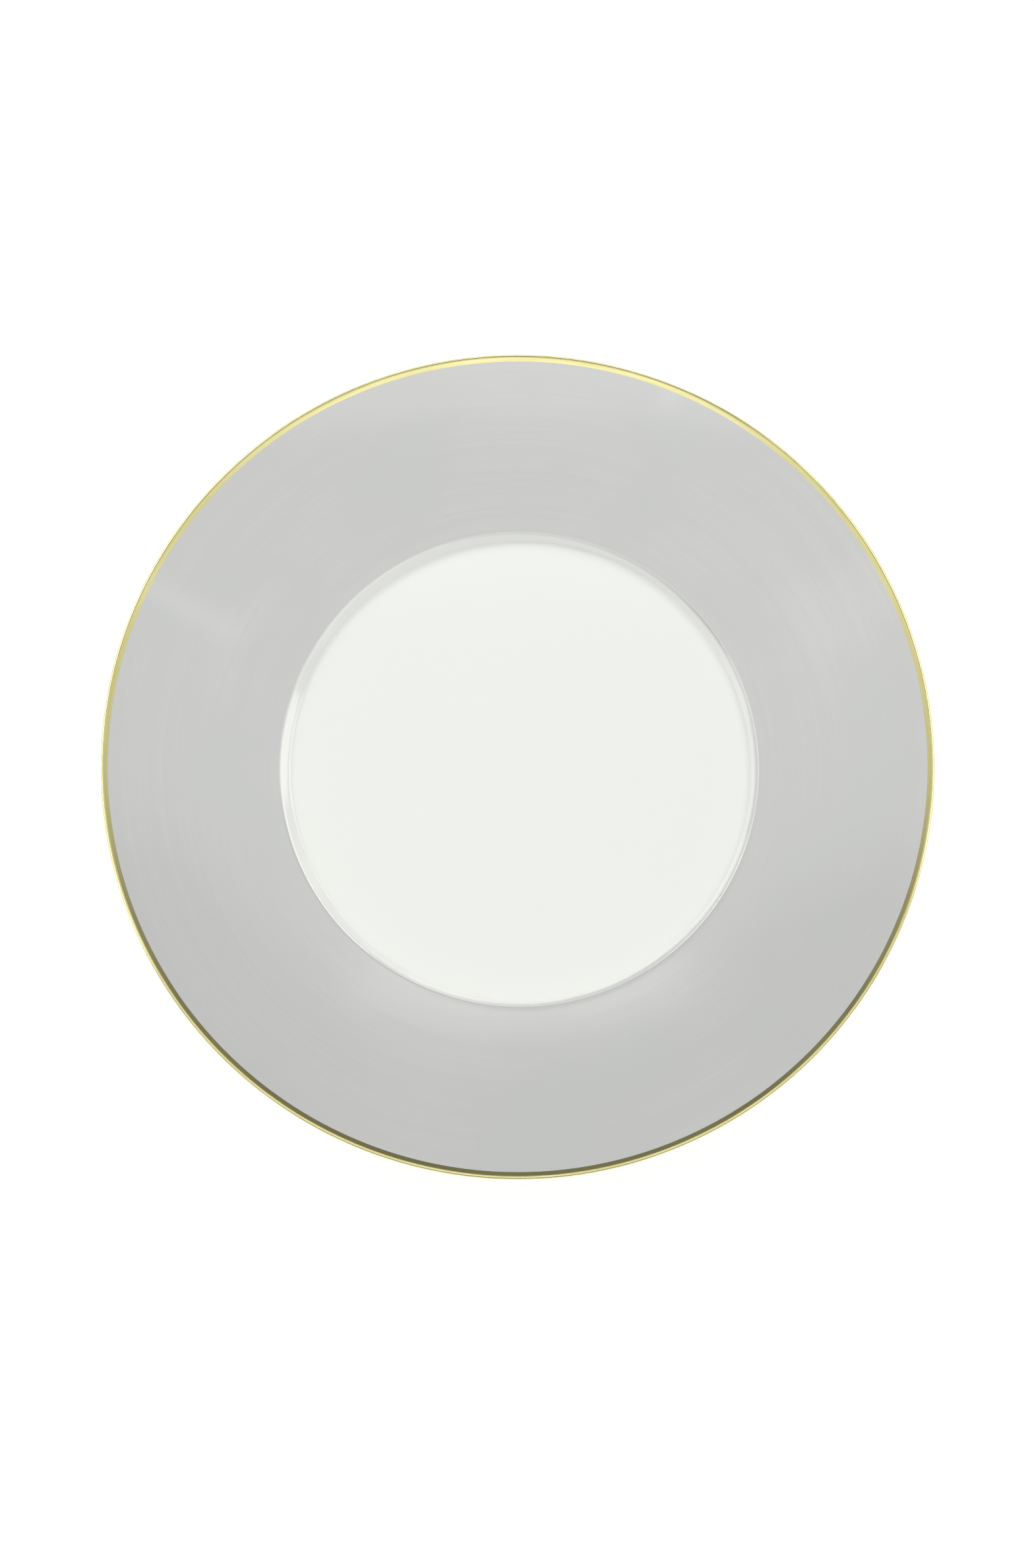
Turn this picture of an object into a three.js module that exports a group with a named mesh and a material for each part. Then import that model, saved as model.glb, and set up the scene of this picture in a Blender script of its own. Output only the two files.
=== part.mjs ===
// A china dinner plate: a porcelain body with a foot ring, and the layers that are put on
// it and fired one after the other, namely the glaze, a painted band and a gold edge.
// Every piece is a section turned about +Z, in millimetres. The origin is where the
// plate's axis meets the surface that it stands on.

import * as THREE from 'three';

// Overall sizes, with every layer on
const plateDiameter = 273;
const plateHeight = 24;

// The well and the step round it
const wellDiameter = 158.6; // across the top of the step
const stepWidth = 2.9; // of the step, seen from above
const stepHeight = 2.6; // from the floor of the well up to the rim
const stepFillet = 0.6; // along each leg of the rounded corner at its foot
const stepRounding = 0.6; // along each leg of the rounded corner at its top

// The body's walls
const floorThickness = 4.4;
const rimThickness = 4.6; // where the rim leaves the step
const lipThickness = 1.4; // at the lip, which is a full round
const rimSag = 1.4; // of the rim's face below a straight line, at mid rim

// The foot ring
const footDiameter = 150; // to the middle of the face that it stands on
const footHeight = 2.2; // from the standing face to the recess under the floor
const footFaceWidth = 1.4;
const footFlare = 1.5; // how far each side leans out from the standing face to its root
const footFillet = 1.1; // along each leg of the rounded corner at its root
const bareHeight = 0.5; // of the foot's sides, wiped clean of glaze with its standing face

// The layers
const glazeThickness = 0.2;
const bandThickness = 0.1;
const bandInset = 0.6; // how far the band runs in past the top of the step, seen from above
const goldThickness = 0.12;
const layerGap = 0.002; // left under each layer, so that facets that lie together never cross
const goldFaceWidth = 2.3; // from the plate's edge to the band, seen from above
const goldBackWidth = 0.8; // past the round of the lip, underneath

// How finely the curves are divided
const turnSegments = 64;
const rimSegments = 4;
const filletSegments = 2;
const lipQuarterSegments = 3;

// A point of a section: x is the radius and y the height.
const point = (radius, height) => new THREE.Vector2(radius, height);

// The section of the body, worked out from the sizes

const wellRadius = wellDiameter / 2;
const floorRadius = wellRadius - stepWidth;
const floorTop = footHeight + floorThickness;
const stepTop = floorTop + stepHeight;

const lipSkin = layerGap + glazeThickness + layerGap + goldThickness;
const lipRadius = lipThickness / 2;
const lipCentre = point(plateDiameter / 2 - lipSkin - lipRadius, plateHeight - lipSkin - lipRadius);
const lipSlope = Math.atan2(
  lipCentre.y + lipRadius - stepTop + 4 * rimSag,
  lipCentre.x - wellRadius,
);

// A point on the round of the lip, at an angle up from pointing straight out.
function lipPoint(angle) {
  return point(
    lipCentre.x + lipRadius * Math.cos(angle),
    lipCentre.y + lipRadius * Math.sin(angle),
  );
}

const rimStart = point(wellRadius, stepTop);
const rimEnd = lipPoint(Math.PI / 2 + lipSlope);
const rimWidth = rimEnd.x - rimStart.x;
const rimRise = rimEnd.y - rimStart.y;

// The rim's face, a shallow hollow curve: share is 0 at the step and 1 at the lip.
function rimFace(share) {
  return point(
    rimStart.x + rimWidth * share,
    rimStart.y + rimRise * share - 4 * rimSag * share * (1 - share),
  );
}

function rimSlope(share) {
  return Math.atan2(rimRise - 4 * rimSag * (1 - 2 * share), rimWidth);
}

// The rim's back, square under the same share of its face, with the wall thinning evenly.
function rimBack(share) {
  const wall = THREE.MathUtils.lerp(rimThickness, lipThickness, share);
  const slope = rimSlope(share);
  const face = rimFace(share);
  return point(face.x + wall * Math.sin(slope), face.y - wall * Math.cos(slope));
}

// Shares of the rim where the gold begins, on its face and on its back, and where its
// face gives way to the rounded top of the step.
const goldFaceShare = (plateDiameter / 2 - goldFaceWidth - rimStart.x) / rimWidth;
const goldBackShare = 1 - goldBackWidth / rimWidth;
const innerRimShare = 0.1;

// Evenly spaced shares from one value to another, the last one left out.
function shares(from, to, count) {
  return Array.from({ length: count }, (_, i) => from + ((to - from) * i) / count);
}

// The corner between two straight lines, rounded off by a curve that starts and ends
// at the same distance from it.
function roundedCorner(before, corner, after, distance, segments) {
  const towards = (end) => {
    const away = end.clone().sub(corner);
    return corner.clone().add(away.setLength(Math.min(distance, away.length() / 2)));
  };
  const curve = new THREE.QuadraticBezierCurve(towards(before), corner, towards(after));
  return curve.getPoints(segments);
}

// Points where the underside would run if there were no foot, from the axis outwards.
const underside = [
  point(0, footHeight),
  point(floorRadius, footHeight),
  ...shares(0, goldBackShare, rimSegments).map(rimBack),
];

// The underside's height at a radius.
function undersideHeight(radius) {
  const next = underside.findIndex((p) => p.x >= radius);
  const [a, b] = [underside[next - 1], underside[next]];
  return THREE.MathUtils.mapLinear(radius, a.x, b.x, a.y, b.y);
}

// One side of the foot ring, from the underside down to its bare edge. side is -1 for
// the side that faces the axis and 1 for the outer one.
function footSide(side) {
  const faceEdge = point(footDiameter / 2 + (side * footFaceWidth) / 2, 0);
  const rootRadius = faceEdge.x + side * footFlare;
  const root = point(rootRadius, undersideHeight(rootRadius));
  const pastRadius = rootRadius + side * 2 * footFillet;
  const past = point(pastRadius, undersideHeight(pastRadius));
  const bareEdge = faceEdge.clone().lerp(root, bareHeight / root.y);
  return {
    faceEdge,
    bareEdge,
    corner: roundedCorner(past, root, faceEdge, footFillet, filletSegments),
  };
}

const footInner = footSide(-1);
const footOuter = footSide(1);

// The stretch of the section under the floor, from the axis to the foot's bare edge.
const recess = [
  ...underside.filter((p) => p.x < footInner.corner[0].x),
  ...footInner.corner,
  footInner.bareEdge,
];

// The stretches from the foot's outer bare edge round to the axis on top. Each one
// leaves out its last point, which is the next one's first.
const back = [
  footOuter.bareEdge,
  ...footOuter.corner.toReversed(),
  ...underside.filter((p) => p.x > footOuter.corner[0].x),
];
const lip = [
  rimBack(goldBackShare),
  ...shares(-Math.PI / 2 + lipSlope, 0, lipQuarterSegments).map(lipPoint),
  ...shares(0, Math.PI / 2, lipQuarterSegments).map(lipPoint),
  lipPoint(Math.PI / 2),
  rimEnd,
];
const floorCentre = point(0, floorTop);
const stepFoot = point(floorRadius, floorTop);
const rim = [
  ...shares(goldFaceShare, innerRimShare, rimSegments).map(rimFace),
  ...roundedCorner(rimFace(innerRimShare), rimStart, stepFoot, stepRounding, filletSegments),
];
const well = [
  rimStart.clone().lerp(stepFoot, bandInset / stepWidth),
  ...roundedCorner(rimStart, stepFoot, floorCentre, stepFillet, filletSegments),
  floorCentre,
];

const outside = [...back, ...lip, ...rim, ...well];
const goldMark = back.length;
const bandMark = goldMark + lip.length;
const wellMark = bandMark + rim.length;

// A stretch moved out of the body by a distance. Each point moves along the mean of the
// normals of the lines that meet there.
function raised(stretch, distance) {
  const normals = stretch.slice(1).map((p, i) => {
    const along = p.clone().sub(stretch[i]).normalize();
    return point(along.y, -along.x);
  });
  return stretch.map((p, i) => {
    const before = normals[Math.max(i - 1, 0)];
    const after = normals[Math.min(i, normals.length - 1)];
    const normal = before.clone().add(after).normalize();
    return p.clone().addScaledVector(normal, distance);
  });
}

// Both faces of a layer that lies on a stretch.
function layerOn(stretch, thickness) {
  const under = raised(stretch, layerGap);
  return { under, over: raised(under, thickness) };
}

// The closed section of a layer that is a ring, between two marks along its stretch.
function ringSection(layer, start, end) {
  const over = layer.over.slice(start, end + 1);
  const under = layer.under.slice(start, end + 1).toReversed();
  return [...over, ...under, over[0]];
}

const recessGlaze = layerOn(recess, glazeThickness);
const glaze = layerOn(outside, glazeThickness);
const colour = layerOn(glaze.over, bandThickness);
const gold = layerOn(glaze.over, goldThickness);

const sections = {
  china_body: [...recess, footInner.faceEdge, footOuter.faceEdge, ...outside],
  glaze_coat: [...glaze.under.toReversed(), ...glaze.over],
  foot_recess_glaze: [...recessGlaze.over, ...recessGlaze.under.toReversed()],
  grey_band: ringSection(colour, bandMark, wellMark),
  gold_edge: ringSection(gold, goldMark, bandMark),
};

const finishes = {
  china_body: { color: 0xefebe1, roughness: 0.75, metalness: 0 },
  glaze_coat: { color: 0xf1f2ed, roughness: 0.12, metalness: 0 },
  foot_recess_glaze: { color: 0xeff0eb, roughness: 0.15, metalness: 0 },
  grey_band: { color: 0xc6c7c4, roughness: 0.2, metalness: 0 },
  gold_edge: { color: 0xe0cf78, roughness: 0.22, metalness: 1 },
};

// A section turned a full turn about +Z, as one named piece.
function turned(name) {
  const geometry = new THREE.LatheGeometry(sections[name], turnSegments);
  geometry.rotateX(Math.PI / 2);
  const mesh = new THREE.Mesh(geometry, new THREE.MeshStandardMaterial(finishes[name]));
  mesh.name = name;
  return mesh;
}

const plate = new THREE.Group();
plate.name = 'dinner_plate';
for (const name of Object.keys(sections)) {
  plate.add(turned(name));
}

export default plate;
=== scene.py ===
import math

import bpy
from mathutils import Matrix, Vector


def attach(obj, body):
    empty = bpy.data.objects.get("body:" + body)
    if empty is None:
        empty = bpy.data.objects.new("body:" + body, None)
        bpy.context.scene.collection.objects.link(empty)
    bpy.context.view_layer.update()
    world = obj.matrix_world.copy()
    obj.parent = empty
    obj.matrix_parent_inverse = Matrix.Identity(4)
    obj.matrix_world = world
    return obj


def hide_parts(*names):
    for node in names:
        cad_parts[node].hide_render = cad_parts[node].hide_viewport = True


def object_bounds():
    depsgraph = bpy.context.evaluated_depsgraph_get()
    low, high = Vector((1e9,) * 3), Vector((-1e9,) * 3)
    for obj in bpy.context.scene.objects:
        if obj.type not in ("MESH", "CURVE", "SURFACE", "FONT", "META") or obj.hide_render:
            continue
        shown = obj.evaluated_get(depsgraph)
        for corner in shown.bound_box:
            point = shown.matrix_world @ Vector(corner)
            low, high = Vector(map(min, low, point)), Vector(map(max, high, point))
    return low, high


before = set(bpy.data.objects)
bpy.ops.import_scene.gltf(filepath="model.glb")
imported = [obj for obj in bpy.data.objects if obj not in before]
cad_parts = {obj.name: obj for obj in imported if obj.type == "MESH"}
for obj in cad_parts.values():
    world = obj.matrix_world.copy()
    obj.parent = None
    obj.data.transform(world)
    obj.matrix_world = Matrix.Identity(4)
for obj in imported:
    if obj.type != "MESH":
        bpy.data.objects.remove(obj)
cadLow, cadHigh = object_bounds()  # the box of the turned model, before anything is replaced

print("frame loaded:", ", ".join(sorted(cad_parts)))

# Sizes are in metres. The overall radius and height come from the frame.
bodyShape = {
    "wellRadius": 0.0793,  # to the top of the step round the well
    "stepWidth": 0.0029,
    "stepHeight": 0.0026,
    "stepFillet": 0.0006,  # at its foot
    "stepRounding": 0.0007,  # at its top
    "floorThickness": 0.0044,
    "rimThickness": 0.0046,  # where the rim leaves the step
    "lipThickness": 0.0012,
    "rimSag": 0.0014,  # of the rim's face below a straight line, at mid rim
    "footRadius": 0.075,  # to the middle of the standing face
    "footHeight": 0.0022,
    "footFace": 0.0014,
    "footFlare": 0.0015,  # how far each side leans out up to its root
    "footFillet": 0.0012,
    "footSoftening": 0.0003,  # of the edges of the standing face
    "bareHeight": 0.0005,  # of the foot's sides, wiped clean of glaze
}
layerGap = 0.000002  # left under every layer
glazeShape = {
    "thickness": 0.0002,
    "taper": 0.0006,  # over which it thins out towards the bare foot
}
bandShape = {
    "thickness": 0.00004,
    "inset": 0.0022,  # how far its ring runs in past the top of the step
    "taper": 0.0008,
}
goldShape = {
    "thickness": 0.00004,
    "faceWidth": 0.0023,  # from the plate's edge inwards
    "backWidth": 0.0008,  # past the round of the lip, underneath
    "taper": 0.0004,
}
# how many lines each stretch of the section is drawn with
linesIn = {
    "recess": 8,
    "footRoot": 10,
    "footSoftening": 5,
    "back": 30,
    "goldBack": 3,
    "lipUnder": 10,
    "lipOver": 14,
    "goldFace": 5,
    "rim": 44,
    "stepTop": 9,
    "stepSlope": 10,
    "stepFoot": 7,
    "well": 12,
}


def point(radius, height):
    return Vector((radius, height))


def spread(first, last, count):
    # evenly spaced values, with the last one left out
    return [first + (last - first) * i / count for i in range(count)]


def curved(start, handle, end, count):
    # a curve that leaves start and reaches end along the lines to the handle
    shares = [i / count for i in range(count + 1)]
    return [start * (1 - t) ** 2 + handle * 2 * t * (1 - t) + end * t * t for t in shares]


def roundedCorner(before, corner, after, leg, count):
    ends = []
    for far in (before, after):
        away = far - corner
        ends.append(corner + away.normalized() * min(leg, away.length / 2))
    return curved(ends[0], corner, ends[1], count)


def raised(stretch, thicknesses):
    # every point moves out along the mean of its two neighbours' normals
    normals = []
    for here, there in zip(stretch, stretch[1:]):
        along = (there - here).normalized()
        normals.append(point(along.y, -along.x))
    moved = []
    for i, here in enumerate(stretch):
        normal = (normals[max(i - 1, 0)] + normals[min(i, len(normals) - 1)]).normalized()
        moved.append(here + normal * thicknesses[i])
    return moved


def lengthsAlong(stretch):
    lengths = [0]
    for here, there in zip(stretch, stretch[1:]):
        lengths.append(lengths[-1] + (there - here).length)
    return lengths


def thinned(stretch, thickness, startTaper, endTaper):
    # the layer's thickness at each point, rounded off to nothing at a free edge
    lengths = lengthsAlong(stretch)
    values = []
    for length in lengths:
        value = thickness
        for reach, taper in ((length, startTaper), (lengths[-1] - length, endTaper)):
            if taper and reach < taper:
                value *= math.sqrt(max(0, 1 - (1 - reach / taper) ** 2))
        values.append(value)
    return values


# the section of the china body, from the axis under the floor round to the axis on top
s = bodyShape
skin = 2 * layerGap + glazeShape["thickness"] + goldShape["thickness"]
floorTop = s["footHeight"] + s["floorThickness"]
stepTop = floorTop + s["stepHeight"]
floorRadius = s["wellRadius"] - s["stepWidth"]
lipRound = s["lipThickness"] / 2
lipCentre = point(cadHigh.x - skin - lipRound, cadHigh.z - skin - lipRound)
lipSlope = math.atan2(
    lipCentre.y + lipRound - stepTop + 4 * s["rimSag"],
    lipCentre.x - s["wellRadius"],
)


def lipPoint(angle):
    return lipCentre + lipRound * point(math.cos(angle), math.sin(angle))


rimStart = point(s["wellRadius"], stepTop)
rimEnd = lipPoint(math.pi / 2 + lipSlope)
rimSpan = rimEnd - rimStart


def rimFace(share):
    return rimStart + rimSpan * share - point(0, 4 * s["rimSag"] * share * (1 - share))


def rimSlope(share):
    return math.atan2(rimSpan.y - 4 * s["rimSag"] * (1 - 2 * share), rimSpan.x)


def rimBack(share):
    wall = s["rimThickness"] * (1 - share) + s["lipThickness"] * share
    slope = rimSlope(share)
    return rimFace(share) + wall * point(math.sin(slope), -math.cos(slope))


# shares of the rim, from the step to the lip
goldFaceShare = (cadHigh.x - goldShape["faceWidth"] - rimStart.x) / rimSpan.x
goldBackShare = 1 - goldShape["backWidth"] / rimSpan.x
faceStart = 0.02  # where its face leaves the rounded top of the step
backStart = 0.02  # where its back leaves the foot

# the foot's corners, first the side that faces the axis and then the outer one
underRoot = rimBack(0)
rootSlope = (underRoot.y - s["footHeight"]) / (underRoot.x - floorRadius)

innerFace = point(s["footRadius"] - s["footFace"] / 2, 0)
outerFace = point(s["footRadius"] + s["footFace"] / 2, 0)
innerRoot = innerFace + point(-s["footFlare"], s["footHeight"])
outerRootRadius = outerFace.x + s["footFlare"]
outerRoot = point(outerRootRadius, s["footHeight"] + rootSlope * (outerRootRadius - floorRadius))
innerBare = innerFace.lerp(innerRoot, s["bareHeight"] / innerRoot.y)
outerBare = outerFace.lerp(outerRoot, s["bareHeight"] / outerRoot.y)

recessFlat = innerRoot.x - 2 * s["footFillet"]

recess = [
    *[point(r, s["footHeight"]) for r in spread(0, recessFlat, linesIn["recess"])],
    *roundedCorner(
        point(0, s["footHeight"]), innerRoot, innerFace, s["footFillet"], linesIn["footRoot"]
    ),
    innerBare,
]
standing = [
    *roundedCorner(innerBare, innerFace, outerFace, s["footSoftening"], linesIn["footSoftening"]),
    *roundedCorner(innerFace, outerFace, outerBare, s["footSoftening"], linesIn["footSoftening"]),
]
back = [
    outerBare,
    *roundedCorner(outerFace, outerRoot, underRoot, s["footFillet"], linesIn["footRoot"]),
    *[rimBack(share) for share in spread(backStart, goldBackShare, linesIn["back"])],
]
lip = [
    *[rimBack(share) for share in spread(goldBackShare, 1, linesIn["goldBack"])],
    *[lipPoint(angle) for angle in spread(lipSlope - math.pi / 2, 0, linesIn["lipUnder"])],
    *[lipPoint(angle) for angle in spread(0, math.pi / 2 + lipSlope, linesIn["lipOver"])],
    *[rimFace(share) for share in spread(1, goldFaceShare, linesIn["goldFace"])],
]
stepFoot = point(floorRadius, floorTop)
floorCentre = point(0, floorTop)
floorFlat = floorRadius - 0.002
# shares of the step's slope, from its top to its foot
slopeStart = 0.22
bandEnd = bandShape["inset"] / s["stepWidth"]
rim = [
    *[rimFace(share) for share in spread(goldFaceShare, faceStart, linesIn["rim"])],
    *roundedCorner(rimFace(faceStart), rimStart, stepFoot, s["stepRounding"], linesIn["stepTop"]),
    *[rimStart.lerp(stepFoot, share) for share in spread(slopeStart, bandEnd, linesIn["stepSlope"])],
]
well = [
    rimStart.lerp(stepFoot, bandEnd),
    *roundedCorner(rimStart, stepFoot, floorCentre, s["stepFillet"], linesIn["stepFoot"]),
    *[point(r, floorTop) for r in spread(floorFlat, 0, linesIn["well"])],
    floorCentre,
]

outside = back + lip + rim + well
goldMark = len(back)
bandMark = goldMark + len(lip)
wellMark = bandMark + len(rim)
print(f"section drawn with {len(outside) + len(recess) + len(standing)} points")


def layerOn(stretch, thickness, startTaper=0, endTaper=0):
    under = raised(stretch, [layerGap] * len(stretch))
    return under, raised(under, thinned(under, thickness, startTaper, endTaper))


def closedRing(under, over):
    return [*over, *reversed(under), over[0]]


glazeUnder, glazeOver = layerOn(
    outside,
    glazeShape["thickness"],
    startTaper=glazeShape["taper"],
)
recessUnder, recessOver = layerOn(
    recess,
    glazeShape["thickness"],
    endTaper=glazeShape["taper"],
)
bandUnder, bandOver = layerOn(
    glazeOver[bandMark : wellMark + 1],
    bandShape["thickness"],
    endTaper=bandShape["taper"],
)
goldUnder, goldOver = layerOn(
    glazeOver[goldMark : bandMark + 1],
    goldShape["thickness"],
    startTaper=goldShape["taper"],
)

# the well and the foot lie a little off the rim's centre
middle = {
    "shift": (0.0013, -0.0007),
    "wholeRadius": 0.0764,  # up to which everything is shifted in full
    "steadyRadius": 0.0805,  # past which nothing is
}
# how a section is turned on the plate's axis
turning = {
    "steps": 256,
    "mergeDistance": 0.0000008,
    "smoothAngle": 50,  # degrees; sharper corners stay crisp
}


def shiftCentre(piece):
    # the middle of the plate moves as one, and the step round it takes up the difference
    shifted = piece.vertex_groups.new(name="middle")
    steady, whole = middle["steadyRadius"], middle["wholeRadius"]
    for vertex in piece.data.vertices:
        reach = (steady - math.hypot(vertex.co.x, vertex.co.y)) / (steady - whole)
        shifted.add([vertex.index], min(max(reach, 0), 1), "REPLACE")
    for direction, strength in zip("XY", middle["shift"]):
        move = piece.modifiers.new("shift" + direction, "DISPLACE")
        move.direction = direction
        move.strength = strength
        move.mid_level = 0
        move.vertex_group = "middle"
        bpy.ops.object.modifier_apply(modifier=move.name)
    piece.vertex_groups.clear()


def turned(name, outline):
    first = outline[0]
    bpy.ops.object.select_all(action="DESELECT")
    bpy.ops.mesh.primitive_plane_add(size=0.001, location=(first.x, 0, first.y))
    piece = bpy.context.object
    piece.name = name
    piece.data.name = name
    bpy.ops.object.transform_apply(location=True, rotation=True, scale=True)
    bpy.ops.object.mode_set(mode="EDIT")
    bpy.ops.mesh.select_all(action="SELECT")
    bpy.ops.mesh.merge(type="CENTER")  # one point is left, where the outline begins
    for here, there in zip(outline, outline[1:]):
        along = there - here
        bpy.ops.mesh.extrude_vertices_move(
            TRANSFORM_OT_translate={"value": (along.x, 0, along.y)}
        )
    bpy.ops.mesh.select_all(action="SELECT")
    bpy.ops.mesh.spin(
        steps=turning["steps"], angle=math.tau, center=(0, 0, 0), axis=(0, 0, 1)
    )
    bpy.ops.mesh.select_all(action="SELECT")
    bpy.ops.mesh.remove_doubles(threshold=turning["mergeDistance"])
    bpy.ops.mesh.normals_make_consistent(inside=False)
    bpy.ops.object.mode_set(mode="OBJECT")
    shiftCentre(piece)
    bpy.ops.object.shade_smooth_by_angle(angle=math.radians(turning["smoothAngle"]))
    print(f"turned {name}: {len(piece.data.polygons)} faces")
    return piece


chinaBody = turned("chinaBody", recess + standing + outside)
glazeCoat = turned("glazeCoat", [*reversed(glazeUnder), *glazeOver])
footRecessGlaze = turned("footRecessGlaze", [*recessOver, *reversed(recessUnder)])
greyBand = turned("greyBand", closedRing(bandUnder, bandOver))
goldEdge = turned("goldEdge", closedRing(goldUnder, goldOver))


class Reading:
    # a value or colour on its way through a material, so that sums can be written as sums
    def __init__(self, finish, socket):
        self.finish = finish
        self.socket = socket

    def worked(self, operation, first, second):
        settings = {"operation": operation}
        return self.finish.node("ShaderNodeMath", settings, {0: first, 1: second})

    def __add__(self, other):
        return self.worked("ADD", self, other)

    __radd__ = __add__

    def __sub__(self, other):
        return self.worked("SUBTRACT", self, other)

    def __rsub__(self, other):
        return self.worked("SUBTRACT", other, self)

    def __mul__(self, other):
        return self.worked("MULTIPLY", self, other)

    __rmul__ = __mul__


class Finish:
    def __init__(self, name):
        self.material = bpy.data.materials.new(name)
        self.material.use_nodes = True
        self.tree = self.material.node_tree
        self.tree.nodes.clear()
        coordinates = self.node("ShaderNodeTexCoord", output="Object")
        flat = self.vector("MULTIPLY", coordinates, (1, 1, 0))
        self.place = coordinates
        self.radius = self.vector("LENGTH", flat, output="Value")  # from the plate's axis
        self.around = self.vector("NORMALIZE", flat)

    def node(self, kind, settings=None, inputs=None, output=0):
        made = self.tree.nodes.new(kind)
        for key, value in (settings or {}).items():
            setattr(made, key, value)
        for key, value in (inputs or {}).items():
            if isinstance(value, Reading):
                self.tree.links.new(value.socket, made.inputs[key])
            else:
                made.inputs[key].default_value = value
        return Reading(self, made.outputs[output])

    def vector(self, operation, first, second=None, output=0):
        inputs = {0: first} if second is None else {0: first, 1: second}
        return self.node("ShaderNodeVectorMath", {"operation": operation}, inputs, output)

    def noise(self, vector, scale, detail=2, roughness=0.5):
        inputs = {"Vector": vector, "Scale": scale, "Detail": detail, "Roughness": roughness}
        return self.node("ShaderNodeTexNoise", {}, inputs)

    def strokes(self, turns, perMetre, detail=2, roughness=0.5, shift=0):
        # noise drawn out round the plate, as a loaded brush leaves it on a turning wheel
        height = self.node("ShaderNodeCombineXYZ", {}, {"Z": self.radius * perMetre + shift})
        wrapped = self.vector("MULTIPLY", self.around, (turns, turns, 0))
        return self.noise(self.vector("ADD", wrapped, height), 1, detail, roughness)

    def rise(self, value, low, high):
        # a soft step, 0 up to the low value and 1 from the high one
        settings = {"interpolation_type": "SMOOTHSTEP"}
        inputs = {"Value": value, "From Min": low, "From Max": high}
        return self.node("ShaderNodeMapRange", settings, inputs)

    def mixed(self, share, first, second):
        settings = {"data_type": "RGBA"}
        return self.node("ShaderNodeMix", settings, {0: share, 6: first, 7: second}, output=2)

    def bumped(self, height, depth, under=None):
        inputs = {"Height": height, "Distance": depth, "Strength": 1}
        if under is not None:
            inputs["Normal"] = under
        return self.node("ShaderNodeBump", {}, inputs)

    def shader(self, sockets):
        return self.node("ShaderNodeBsdfPrincipled", {}, sockets, output="BSDF")

    def finished(self, piece, shader):
        ending = self.tree.nodes.new("ShaderNodeOutputMaterial")
        self.tree.links.new(shader.socket, ending.inputs["Surface"])
        piece.data.materials.clear()
        piece.data.materials.append(self.material)
        print("finish:", self.material.name)


biscuitLook = {
    "pale": (0.72, 0.69, 0.61, 1),
    "dark": (0.5, 0.46, 0.39, 1),
    "roughness": 0.72,
    "roughening": 0.15,  # more of it where the grain is high
    "grainScale": 2600,
    "grainDepth": 0.00003,
    "rubLines": 900,  # per metre, from wiping the foot on the wheel
}


def biscuitFinish(piece):
    look = biscuitLook
    finish = Finish("bareBiscuit")
    grain = finish.noise(finish.place, look["grainScale"], 4, 0.6)
    rub = finish.strokes(9, look["rubLines"], 3)
    shade = finish.rise(grain * 0.5 + rub * 0.5, 0.35, 0.7)
    sockets = {
        "Base Color": finish.mixed(shade, look["pale"], look["dark"]),
        "Roughness": look["roughness"] + look["roughening"] * grain,
        "Normal": finish.bumped(grain, look["grainDepth"]),
    }
    finish.finished(piece, finish.shader(sockets))


glazeLook = {
    "white": (0.86, 0.87, 0.826, 1),
    "cool": (0.845, 0.862, 0.826, 1),
    "roughness": 0.07,
    "ior": 1.52,
    "cloudScale": 22,
    "waveScale": 70,
    "turningLines": 260,  # per metre
    "waveDepth": 0.00003,
    "speckScale": 1500,
    "speckDepth": 0.000008,
}


def glazeSurface(finish):
    # what clear glaze over white china looks like, wherever it lies bare
    look = glazeLook
    cloud = finish.noise(finish.place, look["cloudScale"], 2)
    wave = finish.noise(finish.place, look["waveScale"], 1, 0.4)
    turningMarks = finish.strokes(1.5, look["turningLines"], 2)
    specks = finish.rise(finish.noise(finish.place, look["speckScale"], 1), 0.76, 0.82)
    rolled = finish.bumped(wave * 0.7 + turningMarks * 0.3, look["waveDepth"])
    return {
        "Base Color": finish.mixed(cloud, look["white"], look["cool"]),
        "Roughness": look["roughness"] + 0.04 * cloud + 0.1 * specks,
        "IOR": look["ior"],
        "Normal": finish.bumped(specks, look["speckDepth"], under=rolled),
    }


def glazeFinish(piece, name):
    finish = Finish(name)
    finish.finished(piece, finish.shader(glazeSurface(finish)))


greyLook = {
    "grey": (0.594, 0.593, 0.579, 1),
    "loaded": (0.572, 0.572, 0.56, 1),  # where the brush left more colour
    "cool": (0.566, 0.578, 0.566, 1),
    "roughness": 0.22,
    "ior": 2.1,
    "gloss": 0.08,  # roughness of the clear skin over the colour
    "fineLines": 900,  # of the brush, per metre
    "broadLines": 260,
    "lineDepth": 0.000004,
    "cloudScale": 18,
    "patchScale": 27,
    "edgeRadius": 0.0787,  # where half of the colour has faded out, on the step
    "edgeFade": 0.0006,
    "edgeWander": 0.0005,
}


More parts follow.
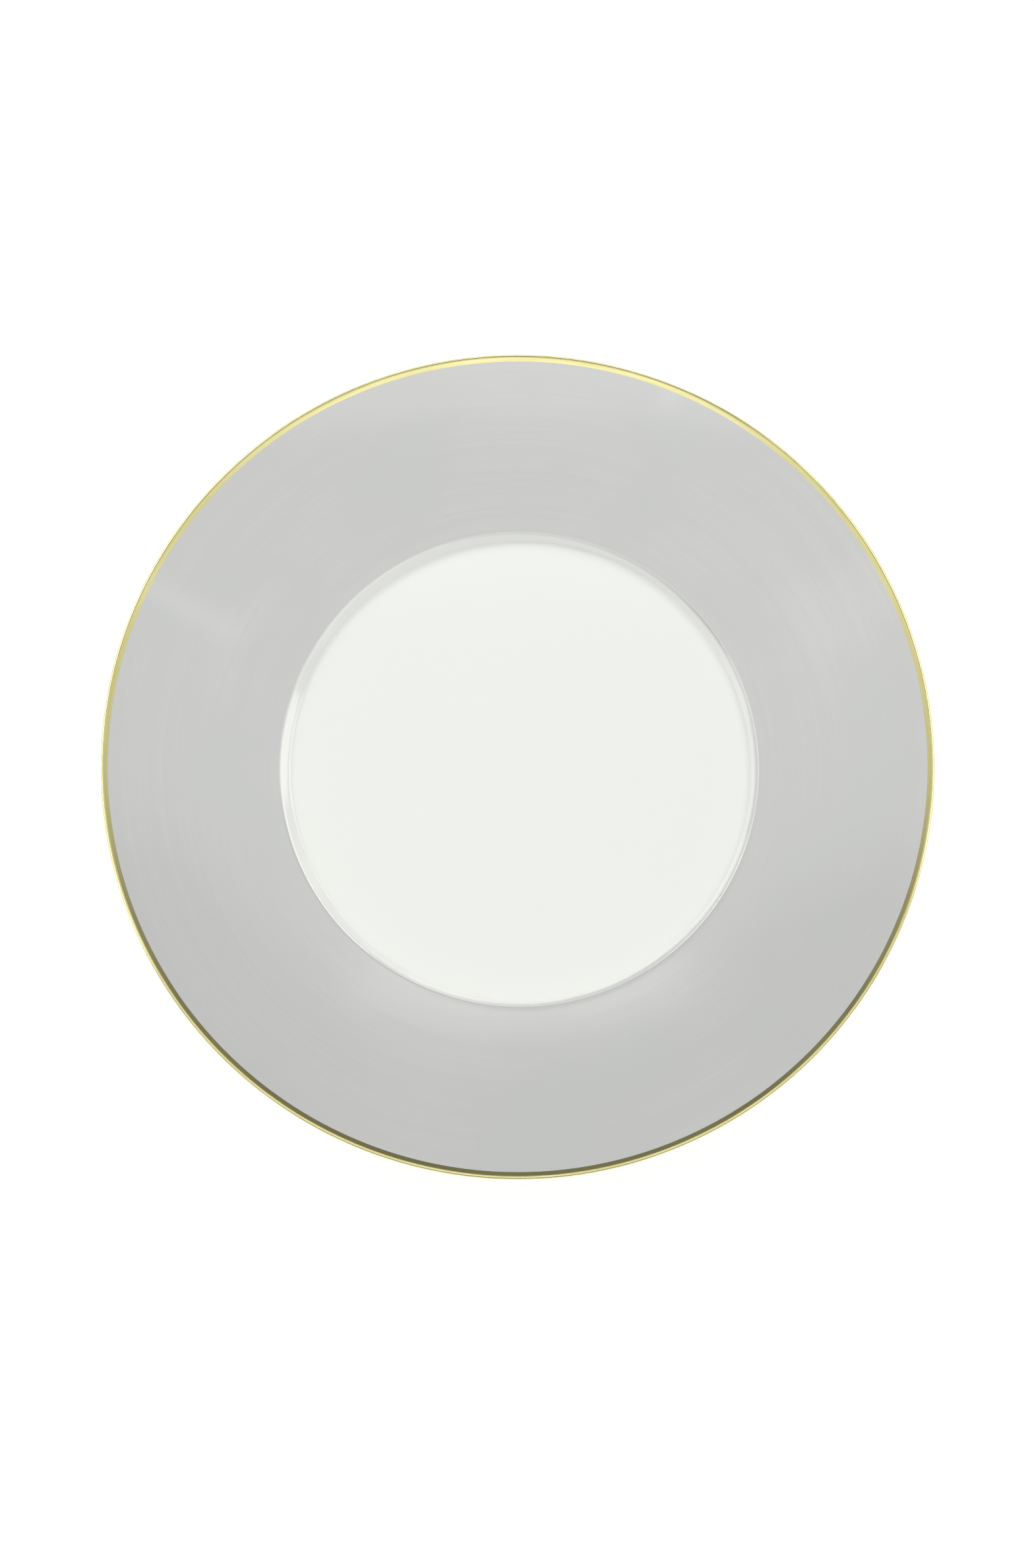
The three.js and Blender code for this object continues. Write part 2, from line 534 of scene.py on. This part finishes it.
def greyFinish(piece):
    look = greyLook
    finish = Finish("brushedGreyColour")
    fine = finish.strokes(1.7, look["fineLines"], 2)
    broad = finish.strokes(0.9, look["broadLines"], 2, shift=7)
    cloud = finish.noise(finish.place, look["cloudScale"], 2)
    load = finish.rise(0.4 * fine + 0.3 * broad + 0.3 * cloud, 0.35, 0.65)
    patches = finish.rise(finish.noise(finish.place, look["patchScale"], 2), 0.45, 0.7)
    brushed = finish.mixed(load, look["grey"], look["loaded"])
    colour = {
        "Base Color": finish.mixed(patches, brushed, look["cool"]),
        "Roughness": look["roughness"] + 0.04 * fine,
        "IOR": look["ior"],
        "Coat Weight": 1,
        "Coat Roughness": look["gloss"],
        "Normal": finish.bumped(broad, look["lineDepth"]),
    }
    # past its painted edge the ring is bare glaze
    wobble = finish.strokes(5, 0, 2)
    wander = look["edgeWander"]
    edge = finish.radius + wander * (wobble - 0.5) + wander * (fine - 0.5)
    start, fade = look["edgeRadius"], look["edgeFade"]
    covered = finish.rise(edge, start - fade, start + fade)
    bare = finish.shader(glazeSurface(finish))
    painted = finish.shader(colour)
    blend = finish.node("ShaderNodeMixShader", {}, {0: covered, 1: bare, 2: painted})
    finish.finished(piece, blend)


goldLook = {
    "bright": (0.86, 0.81, 0.42, 1),
    "deep": (0.77, 0.7, 0.31, 1),
    "roughness": 0.19,
    "roughening": 0.08,  # more of it in patches
    "fineLines": 5200,  # per metre
    "patchLines": 500,
    "lineDepth": 0.000005,
}


def goldFinish(piece):
    look = goldLook
    finish = Finish("burnishedGold")
    fine = finish.strokes(4, look["fineLines"], 3, 0.6)
    patches = finish.strokes(7, look["patchLines"], 2, 0.5, shift=3)
    tone = finish.rise(0.5 * fine + 0.5 * patches, 0.3, 0.7)
    sockets = {
        "Base Color": finish.mixed(tone, look["bright"], look["deep"]),
        "Metallic": 1,
        "Roughness": look["roughness"] + look["roughening"] * patches,
        "Normal": finish.bumped(fine, look["lineDepth"]),
    }
    finish.finished(piece, finish.shader(sockets))


biscuitFinish(chinaBody)
glazeFinish(glazeCoat, "clearGlazeOverWhite")
glazeFinish(footRecessGlaze, "recessGlazeOverWhite")
greyFinish(greyBand)
goldFinish(goldEdge)

madePieces = {
    "china_body": (chinaBody, "biscuit"),
    "glaze_coat": (glazeCoat, "glaze"),
    "foot_recess_glaze": (footRecessGlaze, "glaze"),
    "grey_band": (greyBand, "grey_enamel"),
    "gold_edge": (goldEdge, "gold"),
}
for node, (piece, slot) in madePieces.items():
    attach(piece, "root")
    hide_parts(node)
print("pieces stand in for the turned model:", ", ".join(madePieces))


studio = {
    "floorSize": 2.2,
    "floorCells": 8,
    "floorColour": (0.68, 0.68, 0.676, 1),
    "floorRoughness": 0.9,
    "floorGlow": 0.42,
    "ambient": 0.11,
    "backdrop": 0.97,  # how bright the empty room looks behind the floor
    "panelHeight": 1.5,  # of the panels overhead
    "panelGap": 0.001,  # between the panels of one soft edge
    "lampDrop": 0.01,  # of the narrow lamps below the panels
    "softSteps": 3,  # panels hung for one soft edge
}
# radiance is what a mirror would show of a panel; one with a soft edge is hung as a few
# panels of slightly different sizes
overheadPanels = {
    "softBox": {"centre": (0.272, -0.351), "size": (4.0, 1.56), "radiance": 0.58, "edge": 0.3},
    "keyLamp": {"centre": (0, 0.369), "size": (0.42, 0.42), "radiance": 1.98, "edge": 0.24},
}
# azimuth is turned clockwise from straight behind the plate, and up is the height, in degrees
sidePanels = {
    "backPanel": {
        "azimuth": -19.8,
        "up": 28.2,
        "distance": 1.81,
        "size": (3.3, 0.43),
        "radiance": 2.35,
    },
    "leftPanel": {
        "azimuth": -71.5,
        "up": 34,
        "distance": 1.5,
        "size": (1.98, 0.4),
        "radiance": 3.45,
    },
    "rightPanel": {
        "azimuth": 64.8,
        "up": 33,
        "distance": 1.5,
        "size": (1.66, 0.46),
        "radiance": 3.35,
    },
    "frontPanel": {
        "azimuth": 180,
        "up": 48.4,
        "distance": 1.5,
        "size": (3.65, 1.5),
        "radiance": 0.63,
    },
    "backWall": {
        "azimuth": 0,
        "up": 12,
        "distance": 1.9,
        "size": (2.6, 0.6),
        "radiance": 0.4,
    },
    "leftWall": {
        "azimuth": -82,
        "up": 12,
        "distance": 1.9,
        "size": (2.2, 0.6),
        "radiance": 0.8,
    },
    "rightWall": {
        "azimuth": 82,
        "up": 12,
        "distance": 1.9,
        "size": (2.2, 0.6),
        "radiance": 0.8,
    },
}
# narrow lamps that draw faint lines across the shine of the band
thinLamps = {
    "leftLine": {"centre": (0.72, -0.095), "size": (0.6, 0.025), "turn": -23, "radiance": 1.6},
    "rightLine": {"centre": (-0.72, -0.105), "size": (0.6, 0.13), "turn": 24, "radiance": 0.4},
    "shortLine": {"centre": (-0.29, -0.47), "size": (0.09, 0.02), "turn": 67, "radiance": 2.2},
}
viewpoint = {
    "distance": 1.2,
    "elevation": 81.8,
    "lens": 83.3,
    "sensor": 36,
    "nearest": 0.01,
    "aim": (-0.0002, -0.0059, 0.01),
}

bpy.ops.object.select_all(action="DESELECT")
bpy.ops.mesh.primitive_grid_add(
    x_subdivisions=studio["floorCells"],
    y_subdivisions=studio["floorCells"],
    size=studio["floorSize"],
)
paleFloor = bpy.context.object
paleFloor.name = "paleFloor"
floorFinish = bpy.data.materials.new("palePaper")
floorFinish.use_nodes = True
paper = floorFinish.node_tree.nodes["Principled BSDF"]
paper.inputs["Base Color"].default_value = studio["floorColour"]
paper.inputs["Roughness"].default_value = studio["floorRoughness"]
paper.inputs["Specular IOR Level"].default_value = 0
paper.inputs["Emission Color"].default_value = (1, 1, 1, 1)
paper.inputs["Emission Strength"].default_value = studio["floorGlow"]
paleFloor.data.materials.append(floorFinish)


def hangPanel(name, where, facing, size, radiance):
    bpy.ops.object.light_add(type="AREA", location=where)
    light = bpy.context.object
    light.name = name
    light.data.shape = "RECTANGLE"
    light.data.size, light.data.size_y = size
    light.data.energy = radiance * math.pi * size[0] * size[1]
    light.rotation_euler = facing.to_track_quat("-Z", "Y").to_euler()
    light.visible_camera = False


down = Vector((0, 0, -1))
for name, panel in overheadPanels.items():
    softSteps = studio["softSteps"]
    for i in range(softSteps):
        grown = panel["edge"] * (i / (softSteps - 1) - 0.5)
        size = [side + grown for side in panel["size"]]
        where = Vector((*panel["centre"], studio["panelHeight"] + studio["panelGap"] * i))
        hangPanel(f"{name}.{i}", where, down, size, panel["radiance"] / softSteps)

for name, panel in sidePanels.items():
    azimuth, up = math.radians(panel["azimuth"]), math.radians(panel["up"])
    across = Vector((math.sin(azimuth), math.cos(azimuth), 0)) * math.cos(up)
    where = (across + Vector((0, 0, math.sin(up)))) * panel["distance"]
    hangPanel(name, where, -where, panel["size"], panel["radiance"])

for name, lamp in thinLamps.items():
    where = Vector((*lamp["centre"], studio["panelHeight"] - studio["lampDrop"]))
    hangPanel(name, where, down, lamp["size"], lamp["radiance"])
    bpy.context.object.rotation_euler = (0, 0, math.radians(lamp["turn"]))

room = bpy.data.worlds.new("studioRoom")
room.use_nodes = True
roomNodes, roomLinks = room.node_tree.nodes, room.node_tree.links
background = roomNodes["Background"]
background.inputs["Color"].default_value = (1, 1, 1, 1)
seen = roomNodes.new("ShaderNodeLightPath")
brightness = roomNodes.new("ShaderNodeMapRange")
brightness.inputs["To Min"].default_value = studio["ambient"]
brightness.inputs["To Max"].default_value = studio["backdrop"]
roomLinks.new(seen.outputs["Is Camera Ray"], brightness.inputs["Value"])
roomLinks.new(brightness.outputs["Result"], background.inputs["Strength"])
bpy.context.scene.world = room

elevation = math.radians(viewpoint["elevation"])
backwards = Vector((0, -math.cos(elevation), math.sin(elevation)))
bpy.ops.object.camera_add(location=Vector(viewpoint["aim"]) + backwards * viewpoint["distance"])
camera = bpy.context.object
camera.name = "studioCamera"
camera.rotation_euler = (-backwards).to_track_quat("-Z", "Y").to_euler()
camera.data.lens = viewpoint["lens"]
camera.data.sensor_width = viewpoint["sensor"]
camera.data.clip_start = viewpoint["nearest"]
bpy.context.scene.camera = camera
bpy.context.scene.view_settings.view_transform = "Standard"
print("studio ready")
